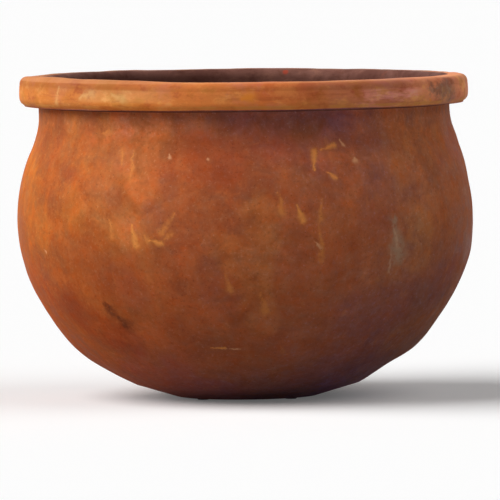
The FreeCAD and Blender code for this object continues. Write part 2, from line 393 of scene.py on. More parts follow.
def paint_patches(piece, kinds):
    """Paints four kinds of patches on the outside, each in its own channel of one attribute."""
    layer = piece.data.color_attributes.new(PATCHES, "FLOAT_COLOR", "POINT")
    runs = [[(on_wall(*start), on_wall(*end), width) for start, end, width in marks] for marks in kinds]
    for vertex, spot in zip(piece.data.vertices, layer.data):
        spot.color = (0.0, 0.0, 0.0, 0.0)
        if is_outside(vertex.co):
            spot.color = [max(soft_mask(vertex.co, *run) for run in marks) for marks in runs]


def make_bowl(outer_finish, inner_finish):
    bowl = turn_outline("bowl", bowl_outline())
    bowl.data.materials.append(outer_finish)
    bowl.data.materials.append(inner_finish)
    for face in bowl.data.polygons:
        is_under = face.center.z < FLANGE_SEAT_Z - WELD
        face.material_index = 0 if is_under or is_past_wall(face.center) else 1
    note_places(bowl)
    paint_patches(bowl, (OCHRE_PATCHES, RED_PATCHES, ROSE_PATCHES, BROWN_PATCHES))
    skin = weigh(bowl, "skin", outside_weight)
    for name, size, depth in BOWL_SWELLS:
        undulate(bowl, name, skin, size, depth)
    for degrees, height, outwards, reach in BOWL_PUSHES:
        push(bowl, on_wall(degrees, height), outwards, reach)
    bpy.ops.object.shade_smooth_by_angle(angle=BOWL_SMOOTHING)
    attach(bowl, "planter")
    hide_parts("bowl_shell")


# Rim

# Its section: a round lower edge, a face, a step to a shallow groove, a rolled lip and the mouth
SKIN_END_Z = RIM_BOTTOM_Z + 0.0014
LOWER_EDGE_Z = RIM_BOTTOM_Z + 0.0052
LOWER_EDGE_INSET = 0.0006
LOWER_EDGE_ROUNDING = 0.0130
FACE_Z = 0.4750
FACE_ROUNDING = 0.02
STEP_Z = 0.4852
STEP_INSET = 0.0004
GROOVE_LOW_Z = 0.4864
GROOVE_HIGH_Z = 0.4876
GROOVE_INSET = 0.0008
LIP_INSET = 0.0012
LIP_ROUNDING = 0.0115
MOUTH_ROUNDING = 0.0140
INNER_EDGE_ROUNDING = 0.0050
RIM_SMOOTHING = math.radians(50)

# Swells all over the skin, and places where it is pushed, as for the bowl
RIM_SWELLS = (
    ("rim_swells", 0.11, 0.0022),
    ("rim_lumps", 0.03, 0.0009),
)
RIM_PUSHES = (
    (-80.0, 0.480, 0.0012, 0.060),
    (-20.0, 0.498, -0.0012, 0.090),
    (35.0, 0.470, 0.0010, 0.080),
    (84.0, 0.492, -0.0022, 0.050),
    (150.0, 0.480, 0.0012, 0.090),
    (230.0, 0.496, -0.0012, 0.090),
)

# Where the crest rises: degrees from the front, height, degrees to either side
CREST_RISES = (
    (-66.0, 0.0052, 46.0),
    (-30.0, 0.0016, 25.0),
    (-130.0, 0.0022, 36.0),
    (-156.0, 0.0014, 26.0),
    (175.0, 0.0012, 32.0),
)
HIGHEST_RISE = max(height for _, height, _ in CREST_RISES)


def crest_weight(place):
    """How far the crest rises, as a share of the highest rise, fading to nothing at the lower edge."""
    degrees = math.degrees(math.atan2(place.x, -place.y))
    rise = 0.0
    for middle, height, reach in CREST_RISES:
        away = abs(math.remainder(degrees - middle, 360.0))
        rise += height * smoothstep(reach, 0.0, away)
    return min(1.0, rise / HIGHEST_RISE) * smoothstep(RIM_BOTTOM_Z, TOP_Z, place.z)


def rim_outline():
    """A channel open below, with a full round lower edge and a faint groove under the rolled lip."""
    chamber_radius = RIM_RADIUS - RIM_SKIN
    neck_inside = NECK_RADIUS - WALL
    return rounded_run([
        (chamber_radius, SKIN_END_Z, 0),
        (RIM_RADIUS - LOWER_EDGE_INSET, LOWER_EDGE_Z, LOWER_EDGE_ROUNDING),
        (RIM_RADIUS, FACE_Z, FACE_ROUNDING),
        (RIM_RADIUS - STEP_INSET, STEP_Z, 0),
        (RIM_RADIUS - GROOVE_INSET, GROOVE_LOW_Z, 0),
        (RIM_RADIUS - GROOVE_INSET, GROOVE_HIGH_Z, 0),
        (RIM_RADIUS - LIP_INSET, TOP_Z, LIP_ROUNDING),
        (MOUTH_RADIUS, TOP_Z, MOUTH_ROUNDING),
        (MOUTH_RADIUS, RIM_BOTTOM_Z, INNER_EDGE_ROUNDING),
        (neck_inside, RIM_BOTTOM_Z, 0),
        (neck_inside, NECK_TOP_Z, 0),
        (chamber_radius, NECK_TOP_Z, 0),
    ], OUTSIDE_SPACING)


def make_rim(finish):
    rim = turn_outline("rim", rim_outline())
    note_places(rim)
    skin = weigh(rim, "skin", lambda place: 1.0)
    crest = weigh(rim, "crest", crest_weight)
    for name, size, depth in RIM_SWELLS:
        undulate(rim, name, skin, size, depth)
    for degrees, height, outwards, reach in RIM_PUSHES:
        push(rim, on_wall(degrees, height), outwards, reach)
    lift(rim, crest, HIGHEST_RISE)
    rim.data.materials.append(finish)
    bpy.ops.object.shade_smooth_by_angle(angle=RIM_SMOOTHING)
    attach(rim, "planter")
    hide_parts("rim_cap")


# Finishes

def paint(red, green, blue):
    """A colour given as a screen shows it, 0 to 255, as the linear values that a shader takes."""
    linear = []
    for level in (red, green, blue):
        share = level / 255.0
        linear.append(share / 12.92 if share <= 0.04045 else ((share + 0.055) / 1.055) ** 2.4)
    return (*linear, 1.0)


WHITE = (1.0, 1.0, 1.0, 1.0)

# How strokes taper, bend and wear through, and how the edges of patches fray
STROKE_START_WIDTH = 0.45
STROKE_END_WIDTH = 1.15
STROKE_BEND_SCALE = 55.0
STROKE_WEAR_SCALE = 85.0
STROKE_WEAR_FADE = 0.34
PATCH_FRAY = 2.4
PATCH_EDGE_LOW = 0.15
PATCH_EDGE_HIGH = 0.85


class Bench:
    """A node tree in the making. A socket is fed with a value or with the output of another node."""

    def __init__(self, tree):
        self.tree = tree

    def add(self, kind, *inputs, **settings):
        node = self.tree.nodes.new(kind)
        for key, setting in settings.items():
            setattr(node, key, setting)
        for socket, value in zip(node.inputs, inputs):
            self.feed(socket, value)
        return node

    def feed(self, socket, value):
        if isinstance(value, bpy.types.NodeSocket):
            self.tree.links.new(value, socket)
        else:
            socket.default_value = value

    def vector(self, operation, *inputs, output="Vector"):
        return self.add("ShaderNodeVectorMath", *inputs, operation=operation).outputs[output]

    def math(self, operation, first, second):
        return self.add("ShaderNodeMath", first, second, operation=operation).outputs[0]

    def sum(self, first, *others):
        for other in others:
            first = self.math("ADD", first, other)
        return first

    def times(self, first, second):
        return self.math("MULTIPLY", first, second)

    def spread(self, value, low, high, lowest=0.0, highest=1.0):
        """Carries a value from one range smoothly to another."""
        ends = (low, high, lowest, highest)
        return self.add("ShaderNodeMapRange", value, *ends, interpolation_type="SMOOTHSTEP").outputs[0]

    def band(self, value, low, high, fade):
        """1 between two values and 0 outside them, with soft ends."""
        return self.times(self.spread(value, low - fade, low), self.spread(value, high + fade, high))

    def looked_at(self):
        """1 for what is seen, directly or mirrored, and 0 for what only lights other things."""
        seen = self.add("ShaderNodeLightPath").outputs
        mirrored = self.math("MAXIMUM", seen["Is Glossy Ray"], seen["Is Transmission Ray"])
        return self.math("MAXIMUM", seen["Is Camera Ray"], mirrored)


class Finish(Bench):
    """A material whose patterns lie on the object's own coordinates."""

    def __init__(self, name, roughness, specular):
        self.material = bpy.data.materials.new(name)
        self.material.use_nodes = True
        super().__init__(self.material.node_tree)
        self.shader = self.tree.nodes["Principled BSDF"]
        self.shader.inputs["Roughness"].default_value = roughness
        self.shader.inputs["Specular IOR Level"].default_value = specular
        self.place = self.add("ShaderNodeTexCoord").outputs["Object"]
        self.x, self.y, self.z = self.add("ShaderNodeSeparateXYZ", self.place).outputs
        self.across = self.add("ShaderNodeCombineXYZ", self.x, self.y).outputs[0]
        self.radius = self.vector("LENGTH", self.across, output="Value")

    def noise(self, scale, detail, stretch=(1.0, 1.0, 1.0), roughness=0.55, distortion=0.0, shift=0.0):
        where = self.vector("MULTIPLY_ADD", self.place, stretch, (shift, shift, shift))
        return self.noise_at(where, scale, detail, roughness, distortion)["Fac"]

    def noise_at(self, where, scale, detail, roughness, distortion=0.0):
        """The outputs of a noise: one level as Fac, three of them as Color."""
        node = self.add("ShaderNodeTexNoise", where)
        node.inputs["Scale"].default_value = scale
        node.inputs["Detail"].default_value = detail
        node.inputs["Roughness"].default_value = roughness
        node.inputs["Distortion"].default_value = distortion
        return node.outputs

    def runs(self, scale, drop, shift=0.0):
        """Streaks that follow the wall from rim to foot, wherever it turns."""
        outwards = self.vector("NORMALIZE", self.across)
        belly = (BELLY_RADIUS, BELLY_RADIUS, 0.0)
        ring = self.vector("MULTIPLY_ADD", outwards, belly, (shift, shift, shift))
        where = self.vector("MULTIPLY_ADD", self.place, (0.0, 0.0, drop), ring)
        return self.noise_at(where, scale, 4.0, 0.6)["Fac"]

    def cells(self, scale):
        """Distance from the nearest of many scattered points, in shares of their usual spacing."""
        node = self.add("ShaderNodeTexVoronoi", self.place)
        node.inputs["Scale"].default_value = scale
        return node.outputs["Distance"]

    def mix(self, share, under, over, blend="MIX"):
        node = self.add("ShaderNodeMix", data_type="RGBA", blend_type=blend)
        self.feed(node.inputs[0], share)
        self.feed(node.inputs[6], under)
        self.feed(node.inputs[7], over)
        return node.outputs[2]

    def stain(self, tone, colour, amount, mask):
        """Lays a colour over a tone where a mask is 1, as thick as the amount."""
        return self.mix(self.times(mask, amount), tone, colour)

    def wash(self, tone, red, green, blue, mask):
        """Multiplies a tone where a mask is 1, so that its pattern shows through."""
        return self.mix(mask, tone, (red, green, blue, 1.0), "MULTIPLY")

    def strokes(self, group, marks, waver, wear):
        """Brush strokes and scratches, each between two places on the wall, wavering and worn through."""
        place = self.add("ShaderNodeAttribute", attribute_name=TRUE_PLACE).outputs["Vector"]
        wander = self.noise_at(place, STROKE_BEND_SCALE, 4.0, 0.7)["Color"]
        offset = self.vector("SUBTRACT", wander, (0.5, 0.5, 0.5))
        ragged = self.vector("MULTIPLY_ADD", offset, (waver, waver, waver), place)
        mask = 0.0
        for start, end, width in marks:
            stroke = self.add("ShaderNodeGroup", node_tree=group)
            for socket, value in zip(stroke.inputs, (ragged, on_wall(*start), on_wall(*end), width)):
                self.feed(socket, value)
            mask = self.math("MAXIMUM", mask, stroke.outputs[0])
        cover = self.noise(STROKE_WEAR_SCALE, 4, roughness=0.7, shift=1.7)
        return self.times(mask, self.spread(cover, wear, wear + STROKE_WEAR_FADE))

    def brush(self, tone, group, brushwork):
        """Lays strokes over a tone, each kind with its own paint, thickness, waver and wear."""
        for marks, colour, amount, waver, wear in brushwork:
            tone = self.stain(tone, colour, amount, self.strokes(group, marks, waver, wear))
        return tone

    def patches(self, unevenness):
        """The four masks painted on a piece, with edges frayed by a noise."""
        painted = self.add("ShaderNodeAttribute", attribute_name=PATCHES)
        colours = self.add("ShaderNodeSeparateColor", painted.outputs["Color"]).outputs
        fray = self.times(self.math("SUBTRACT", unevenness, 0.5), PATCH_FRAY)
        masks = []
        for mask in (*colours, painted.outputs["Alpha"]):
            frayed = self.sum(mask, self.times(mask, fray))
            masks.append(self.spread(frayed, PATCH_EDGE_LOW, PATCH_EDGE_HIGH))
        return masks

    def relief(self, height, depth, strength):
        node = self.add("ShaderNodeBump")
        node.inputs["Strength"].default_value = strength
        node.inputs["Distance"].default_value = depth
        self.feed(node.inputs["Height"], height)
        self.feed(self.shader.inputs["Normal"], node.outputs[0])

    def colour(self, output):
        self.feed(self.shader.inputs["Base Color"], output)

    def gloss(self, output):
        self.feed(self.shader.inputs["Roughness"], output)


def stroke_group():
    """Nodes for a stroke between two places: 1 along its middle, 0 at its sides, broader at its end."""
    group = bpy.data.node_groups.new("stroke", "ShaderNodeTree")
    for name in ("Place", "Start", "End"):
        group.interface.new_socket(name, in_out="INPUT", socket_type="NodeSocketVector")
    group.interface.new_socket("Width", in_out="INPUT", socket_type="NodeSocketFloat")
    group.interface.new_socket("Mask", in_out="OUTPUT", socket_type="NodeSocketFloat")
    bench = Bench(group)
    place, start, end, width = bench.add("NodeGroupInput").outputs[:4]
    reach = bench.vector("SUBTRACT", place, start)
    course = bench.vector("SUBTRACT", end, start)
    along = bench.vector("DOT_PRODUCT", reach, course, output="Value")
    length = bench.vector("DOT_PRODUCT", course, course, output="Value")
    share = bench.add("ShaderNodeMath", along, length, operation="DIVIDE", use_clamp=True).outputs[0]
    foot = bench.vector("MULTIPLY", course, share)
    gap = bench.vector("DISTANCE", reach, foot, output="Value")
    taper = bench.spread(share, 0.0, 1.0, STROKE_START_WIDTH, STROKE_END_WIDTH)
    half_width = bench.times(width, taper)
    mask = bench.spread(gap, half_width, 0.0)
    bench.add("NodeGroupOutput", bench.times(mask, mask))
    return group


# Paints of the ground that bowl and rim share
RUST = paint(163, 90, 51)
LIGHT_RUST = paint(202, 109, 56)
OCHRE = paint(206, 108, 44)
ROSE = paint(178, 90, 76)
BRUISE = paint(132, 70, 54)
DARK_RUN = paint(134, 66, 44)
PALE_RUN = paint(218, 126, 66)
DARK_BRUSHING = paint(130, 68, 46)
PALE_BRUSHING = paint(230, 130, 66)
DARK_GRAIN = paint(122, 56, 32)
PALE_GRAIN = paint(210, 148, 108)


def rusty_ground(finish):
    """Dappled rust that drifts to ochre and rose, with runs, brushing and grain."""
    dapple = finish.noise(21.0, 6, (1.0, 1.0, 1.1), roughness=0.60, distortion=0.5)
    drift = finish.noise(4.2, 5, (1.0, 1.0, 0.75), roughness=0.54, shift=2.3)
    bruises = finish.noise(6.0, 4, (1.0, 1.0, 0.8), roughness=0.54, shift=7.1)
    brushed = finish.noise(42.0, 5, (1.0, 1.0, 1.25), roughness=0.66, distortion=1.1, shift=9.0)
    tints = finish.noise(75.0, 3, roughness=0.6, shift=13.0)
    grain = finish.noise(200.0, 3, roughness=0.75)
    hues = finish.noise(17.0, 4, roughness=0.6, shift=15.0)
    tone = finish.mix(finish.spread(dapple, 0.26, 0.74), RUST, LIGHT_RUST)
    tone = finish.stain(tone, OCHRE, 0.38, finish.spread(drift, 0.50, 0.63))
    tone = finish.stain(tone, ROSE, 0.38, finish.spread(drift, 0.50, 0.37))
    tone = finish.stain(tone, BRUISE, 0.20, finish.spread(bruises, 0.54, 0.70))
    dark_runs = finish.spread(finish.runs(34.0, 0.10), 0.52, 0.72)
    pale_runs = finish.spread(finish.runs(60.0, 0.14, 5.0), 0.56, 0.76)
    tone = finish.stain(tone, DARK_RUN, 0.15, dark_runs)
    tone = finish.stain(tone, PALE_RUN, 0.14, pale_runs)
    tone = finish.stain(tone, DARK_BRUSHING, 0.25, finish.spread(brushed, 0.50, 0.76))
    tone = finish.stain(tone, PALE_BRUSHING, 0.25, finish.spread(brushed, 0.48, 0.24))
    tone = finish.wash(tone, 0.97, 1.09, 1.26, finish.spread(tints, 0.50, 0.68))
    tone = finish.wash(tone, 1.03, 0.91, 0.76, finish.spread(tints, 0.50, 0.32))
    tone = finish.wash(tone, 0.99, 1.05, 1.07, finish.spread(hues, 0.50, 0.64))
    tone = finish.wash(tone, 1.01, 0.95, 0.93, finish.spread(hues, 0.50, 0.36))
    tone = finish.stain(tone, PALE_GRAIN, 0.38, finish.spread(grain, 0.55, 0.75))
    tone = finish.stain(tone, DARK_GRAIN, 0.38, finish.spread(grain, 0.45, 0.27))
    return tone, dapple, grain


# Strokes on the outside: start and end as (degrees from the front, height), and half the width
OCHRE_STROKES = (
    ((-28.9, 0.284), (-28.0, 0.254), 0.0105),
    ((-24.4, 0.260), (-21.2, 0.257), 0.0090),
    ((18.0, 0.366), (18.6, 0.394), 0.0110),
    ((20.6, 0.396), (24.8, 0.403), 0.0080),
    ((21.2, 0.362), (23.6, 0.353), 0.0075),
    ((12.8, 0.314), (14.3, 0.290), 0.0100),
    ((-11.6, 0.093), (-6.8, 0.093), 0.0048),
)
FAINT_STROKES = (
    ((-35.7, 0.290), (-35.1, 0.266), 0.0100),
    ((-34.0, 0.376), (-34.4, 0.394), 0.0120),
    ((-42.2, 0.423), (-39.4, 0.424), 0.0095),
    ((-30.8, 0.398), (-30.2, 0.352), 0.0085),
    ((-25.8, 0.270), (-24.4, 0.260), 0.0100),
    ((-21.2, 0.258), (-18.8, 0.272), 0.0100),
    ((-17.8, 0.301), (-21.2, 0.274), 0.0110),
    ((8.4, 0.332), (9.3, 0.301), 0.0120),
    ((19.4, 0.322), (18.9, 0.291), 0.0100),
    ((18.6, 0.286), (19.3, 0.230), 0.0090),
    ((-5.2, 0.212), (-4.0, 0.184), 0.0115),
    ((3.8, 0.178), (5.4, 0.150), 0.0120),
)
PALE_STROKES = (
    ((-20.2, 0.391), (-20.0, 0.387), 0.0064),
    ((-9.7, 0.387), (-9.5, 0.384), 0.0050),
    ((30.0, 0.381), (30.0, 0.378), 0.0095),
    ((26.6, 0.410), (27.4, 0.402), 0.0054),
    ((17.2, 0.258), (18.9, 0.247), 0.0046),
    ((-7.0, 0.092), (-2.0, 0.092), 0.0036),
    ((-62.0, 0.240), (-61.0, 0.236), 0.0048),
)
GREY_VEILS = (
    ((39.4, 0.288), (41.6, 0.232), 0.0340),
)
GREY_STROKES = (
    ((39.5, 0.276), (41.0, 0.246), 0.0095),
    ((39.2, 0.240), (39.4, 0.206), 0.0060),
)
DARK_STROKES = (
    ((-41.6, 0.161), (-40.2, 0.150), 0.0220),
    ((-38.4, 0.141), (-37.0, 0.128), 0.0270),
)

# Brushwork on the bowl: strokes, paint, thickness, waver, wear
BOWL_BRUSHWORK = (
    (FAINT_STROKES, paint(230, 144, 74), 0.74, 0.016, 0.24),
    (OCHRE_STROKES, paint(248, 160, 80), 0.86, 0.012, 0.16),
    (PALE_STROKES, paint(238, 174, 126), 0.82, 0.010, 0.05),
    (GREY_VEILS, paint(182, 152, 124), 0.72, 0.030, 0.24),
    (GREY_STROKES, paint(220, 172, 138), 0.55, 0.010, 0.24),
    (DARK_STROKES, paint(78, 38, 30), 0.72, 0.020, 0.20),
)
WORN_PAINT = paint(222, 138, 78)
PIT_PAINT = paint(90, 46, 30)


def tint_patches(finish, tone, mottle):
    """The broad patches that are painted on the bowl."""
    ochre, red, rose, brown = finish.patches(mottle)
    tone = finish.wash(tone, 1.14, 1.23, 1.08, ochre)
    tone = finish.wash(tone, 0.88, 0.76, 0.78, red)
    tone = finish.wash(tone, 1.05, 1.12, 1.30, rose)
    return finish.wash(tone, 0.86, 0.88, 1.10, brown)


def tint_sides(finish, tone, mottle):
    """Warm on the left and red below there, rosy with dabs on the right, with painted shade, darker and
    more violet, low on the right.
    """
    side = finish.sum(finish.x, finish.times(mottle, 0.25))
    left = finish.spread(side, 0.08, -0.18)
    low_left = finish.times(left, finish.spread(finish.z, 0.28, 0.14))
    tone = finish.wash(tone, 1.02, 0.97, 0.75, left)
    tone = finish.wash(tone, 0.98, 0.85, 0.92, low_left)
    right = finish.times(finish.spread(side, 0.10, 0.34), finish.spread(side, 0.50, 0.39))
    tone = finish.wash(tone, 1.00, 1.14, 1.50, right)
    dabs = finish.noise(34.0, 5, (1.0, 1.0, 0.8), roughness=0.62, distortion=0.4, shift=17.0)
    tone = finish.wash(tone, 0.84, 0.85, 0.92, finish.times(right, finish.spread(dabs, 0.50, 0.70)))
    tone = finish.wash(tone, 1.16, 1.13, 1.05, finish.times(right, finish.spread(dabs, 0.50, 0.30)))
    middle = finish.band(side, 0.00, 0.30, 0.10)
    tone = finish.wash(tone, 1.04, 1.00, 1.20, middle)
    # Painted shade: darker and more violet low on the right, away from the key light.
    across = finish.times(finish.x, 0.7)
    down = finish.times(finish.z, -1.2)
    shaded = finish.sum(across, down, finish.times(mottle, 0.25))
    return finish.wash(tone, 0.70, 0.83, 1.42, finish.spread(shaded, -0.16, 0.22))


def tint_foot_and_neck(finish, tone, mottle):
    """Greyer at the foot, paler and more violet at the neck as painted light in the rim's shadow, and a
    painted shadow under the rim, all of it stronger in front.
    """
    foot = finish.spread(finish.sum(finish.z, finish.times(mottle, -0.10)), 0.04, -0.05)
    front = finish.spread(finish.y, 0.08, -0.10, 0.35, 1.0)
    foot = finish.times(foot, finish.times(finish.spread(finish.x, -0.16, 0.08), front))
    tone = finish.wash(tone, 0.94, 1.24, 2.00, foot)
    neck = finish.sum(finish.z, finish.times(mottle, 0.06))
    # Painted light: paler and more violet at the neck, lifting the rim's shadow there.
    tone = finish.wash(tone, 1.18, 1.34, 1.72, finish.times(finish.spread(neck, 0.44, 0.485), front))
    # Painted shadow under the rim: darker and more violet in a band right of the middle, in front.
    painted_rim_shadow = finish.band(finish.sum(finish.x, finish.times(mottle, 0.12)), 0.05, 0.18, 0.08)
    painted_rim_shadow = finish.times(finish.times(painted_rim_shadow, front), finish.spread(neck, 0.425, 0.47))
    return finish.wash(tone, 0.86, 0.94, 1.32, painted_rim_shadow)


def wear_through(finish, tone, mottle):
    """Short upright ticks where the finish is worn, fainter in front."""
    ticks = finish.noise(64.0, 3, (1.0, 1.0, 0.22), shift=11.0)
    worn = finish.times(finish.spread(ticks, 0.58, 0.70), finish.spread(mottle, 0.44, 0.60))
    worn = finish.times(worn, finish.spread(finish.y, -0.20, 0.10, 0.35, 1.0))
    return finish.stain(tone, WORN_PAINT, 0.60, worn)


def rust_patina(group):
    finish = Finish("rust_patina", 0.7, 0.05)
    tone, mottle, grain = rusty_ground(finish)
    tone = tint_patches(finish, tone, mottle)
    tone = tint_sides(finish, tone, mottle)
    tone = tint_foot_and_neck(finish, tone, mottle)
    tone = wear_through(finish, tone, mottle)
    tone = finish.brush(tone, group, BOWL_BRUSHWORK)
    pits = finish.spread(finish.cells(115.0), 0.14, 0.05)
    tone = finish.stain(tone, PIT_PAINT, 0.40, pits)
    finish.colour(tone)
    finish.gloss(finish.spread(mottle, 0.34, 0.66, 0.58, 0.80))
    height = finish.sum(mottle, finish.times(grain, 0.25), finish.times(pits, -0.25))
    finish.relief(height, 0.0016, 0.45)
    return finish.material


RIM_OCHRE_STROKES = (
    ((-0.5, 0.4750), (1.5, 0.4790), 0.0170),
    ((54.6, 0.468), (55.2, 0.462), 0.0066),
)
RIM_PALE_STROKES = (
    ((-54.2, 0.488), (-55.4, 0.464), 0.0095),
    ((-45.5, 0.474), (-41.5, 0.482), 0.0160),
    ((-35.0, 0.480), (-31.5, 0.474), 0.0130),
)
RIM_SMUDGES = (
    ((55.5, 0.481), (65.0, 0.478), 0.0440),
)
RUST_SPOT = (0.067, 0.3006, 0.496)
SPOT_EDGE = 0.0065
SPOT_CORE = 0.0025

# The finish of the inside begins at the first radius and is full at the second.
INSIDE_EDGE = 0.3225
INSIDE_FULL = 0.3195

# Paints of the rim, and its brushwork: strokes, paint, thickness, waver, wear
RIM_LIGHT = paint(250, 150, 80)
RIM_OCHRE = paint(232, 142, 58)
RIM_ROSE = paint(216, 132, 108)
RIM_PALE_BLOTCH = paint(250, 172, 96)
RIM_RED_BLOTCH = paint(186, 80, 46)
RIM_PINK = paint(228, 142, 122)
RIM_AMBER = paint(204, 126, 54)
RIM_SMEAR = paint(178, 84, 52)
SMUDGE_PAINT = paint(122, 88, 72)
SMUDGE_SPECKLE = paint(196, 160, 138)
# A worn crest that is also a painted highlight
WORN_CREST_HIGHLIGHT = paint(236, 168, 120)
# Darker paint for the crest behind
DARK_REAR_CREST = paint(116, 76, 60)
# A worn lower arris that is also a painted highlight
WORN_ARRIS_HIGHLIGHT = paint(244, 168, 88)
SPOT_PAINT = paint(176, 66, 42)
RIM_BRUSHWORK = (
    (RIM_OCHRE_STROKES, paint(255, 152, 58), 0.90, 0.008, -0.30),
    (RIM_PALE_STROKES, paint(252, 198, 126), 0.58, 0.014, 0.20),
)


def blotch_rim(finish, tone, mottle):
    """Lighter than the bowl, ochre to the left and rosy to the right, with blotches and level smears."""
    tone = finish.stain(tone, RIM_LIGHT, 0.60, finish.spread(mottle, 0.05, 0.45))
    side = finish.sum(finish.x, finish.times(mottle, 0.25))
    tone = finish.stain(tone, RIM_OCHRE, 0.50, finish.spread(side, 0.05, -0.20))
    tone = finish.stain(tone, RIM_ROSE, 0.52, finish.spread(side, 0.16, 0.34))
    blotches = finish.noise(21.0, 6, (1.0, 1.0, 1.6), roughness=0.66, shift=6.0)
    tone = finish.stain(tone, RIM_PALE_BLOTCH, 0.55, finish.spread(blotches, 0.51, 0.64))
    tone = finish.stain(tone, RIM_RED_BLOTCH, 0.58, finish.spread(blotches, 0.48, 0.34))
    hues = finish.noise(16.0, 5, (1.0, 1.0, 1.3), roughness=0.6, shift=12.0)
    pinks = finish.times(finish.spread(hues, 0.52, 0.66), finish.spread(finish.x, -0.25, 0.10, 0.35, 1.0))
    tone = finish.stain(tone, RIM_PINK, 0.50, pinks)
    tone = finish.stain(tone, RIM_AMBER, 0.48, finish.spread(hues, 0.46, 0.34))
    smears = finish.noise(13.0, 5, (1.0, 1.0, 7.0), roughness=0.66, shift=3.0)
    return finish.stain(tone, RIM_SMEAR, 0.30, finish.spread(smears, 0.53, 0.68))


def tint_rim(finish, tone):
    """Painted light across the middle, stronger low down left of the middle, and reddened and pale places
    along the rim.
    """
    # Painted light: brighter across the middle of the rim.
    tone = finish.wash(tone, 1.10, 1.07, 1.02, finish.band(finish.x, -0.16, 0.18, 0.10))
    # Painted light: brighter again on the lower part, left of the middle.
    painted_light_low_middle = finish.band(finish.x, -0.20, 0.06, 0.08)
    painted_light_low_middle = finish.times(painted_light_low_middle, finish.spread(finish.z, 0.480, 0.464))
    tone = finish.wash(tone, 1.16, 1.14, 1.02, painted_light_low_middle)
    reddened = finish.band(finish.x, 0.03, 0.09, 0.04)
    reddened = finish.times(reddened, finish.spread(finish.z, 0.462, 0.476))
    tone = finish.wash(tone, 0.94, 0.78, 0.82, reddened)
    flushes = finish.noise(15.0, 5, (1.0, 1.0, 5.0), roughness=0.62, shift=19.0)
    flushed = finish.times(finish.band(finish.x, 0.19, 0.25, 0.03), finish.spread(flushes, 0.40, 0.56))
    flushed = finish.times(flushed, finish.spread(finish.z, 0.489, 0.481))
    tone = finish.wash(tone, 1.26, 1.42, 2.20, flushed)
    far_end = finish.spread(finish.x, 0.235, 0.265)
    far_end = finish.times(far_end, finish.spread(finish.z, 0.458, 0.482, 0.4, 1.0))
    tone = finish.wash(tone, 1.36, 1.46, 1.50, far_end)
    pale_left = finish.band(finish.x, -0.22, -0.15, 0.05)
    pale_left = finish.times(pale_left, finish.band(finish.z, 0.473, 0.486, 0.006))
    return finish.wash(tone, 1.10, 1.34, 1.75, pale_left)


def smudge_rim(finish, tone, group):
    """A speckled dull smudge near the right end."""
    smudge = finish.strokes(group, RIM_SMUDGES, 0.05, 0.0)
    speckle = finish.spread(finish.noise(95.0, 4, roughness=0.8, shift=8.0), 0.46, 0.64)
    tone = finish.stain(tone, SMUDGE_PAINT, 0.72, smudge)
    return finish.stain(tone, SMUDGE_SPECKLE, 0.42, finish.times(smudge, speckle))


def tint_rim_edges(finish, tone, mottle):
    """Painted shade towards the top and on the crest at its ends, a worn crest with a painted highlight,
    a darker crest behind, and a worn lower arris with a painted highlight.
    """
    # Painted shade: darker towards the top, where the rounding faces up.
    tone = finish.wash(tone, 0.82, 0.80, 0.80, finish.spread(finish.z, 0.480, 0.496))
    # More painted shade on the crest at the left end and right of the middle.
    painted_shade_ends = finish.sum(finish.spread(finish.x, -0.08, -0.18), finish.band(finish.x, 0.10, 0.22, 0.04))
    painted_shade_crest = finish.times(finish.spread(finish.z, 0.476, 0.496), painted_shade_ends)
    tone = finish.wash(tone, 0.84, 0.84, 0.92, painted_shade_crest)
    # Worn crest and a painted highlight: a thin pale line along the top edge.
    crest = finish.times(finish.spread(finish.z, 0.4970, 0.4992), finish.spread(mottle, 0.30, 0.50))
    tone = finish.stain(tone, WORN_CREST_HIGHLIGHT, 0.30, crest)
    # Darker on the crest behind.
    dark_rear_crest = finish.times(finish.spread(finish.z, 0.490, 0.498), finish.spread(finish.y, 0.02, 0.20))
    tone = finish.stain(tone, DARK_REAR_CREST, 0.72, dark_rear_crest)
    # Worn lower arris and a painted highlight along it.
    arris = finish.times(finish.band(finish.z, 0.4600, 0.4630, 0.002), finish.spread(mottle, 0.38, 0.56))
    return finish.stain(tone, WORN_ARRIS_HIGHLIGHT, 0.60, arris)


def rim_patina(group):
    finish = Finish("rim_patina", 0.68, 0.05)
    tone, mottle, grain = rusty_ground(finish)
    tone = blotch_rim(finish, tone, mottle)
    tone = tint_rim(finish, tone)
    tone = smudge_rim(finish, tone, group)
    tone = finish.brush(tone, group, RIM_BRUSHWORK)
    tone = tint_rim_edges(finish, tone, mottle)
    inwards = finish.sum(finish.radius, finish.times(mottle, 0.006))
    inside = finish.spread(inwards, INSIDE_EDGE, INSIDE_FULL)
    tone = finish.mix(inside, tone, inside_tone(finish, mottle))
    from_spot = finish.vector("DISTANCE", finish.place, RUST_SPOT, output="Value")
    tone = finish.stain(tone, SPOT_PAINT, 0.72, finish.spread(from_spot, SPOT_EDGE, SPOT_CORE))
    finish.colour(tone)
    finish.gloss(finish.spread(mottle, 0.34, 0.66, 0.56, 0.76))
    finish.relief(finish.sum(mottle, finish.times(grain, 0.3)), 0.0014, 0.45)
    return finish.material


# Paints of the inside
COMPOSITE = paint(130, 86, 74)
DARK_COMPOSITE = paint(106, 66, 56)
RUSTY_SMEAR = paint(166, 80, 52)
# Painted shade and painted shadow for the inside
PAINTED_SHADE_LEFT = paint(84, 50, 44)
PAINTED_SHADOW_RIGHT = paint(80, 46, 38)
LIME_BLOOM = paint(150, 122, 108)
TIDE_MARK = paint(150, 116, 98)
DAMP = paint(74, 52, 44)
WET = paint(52, 38, 32)


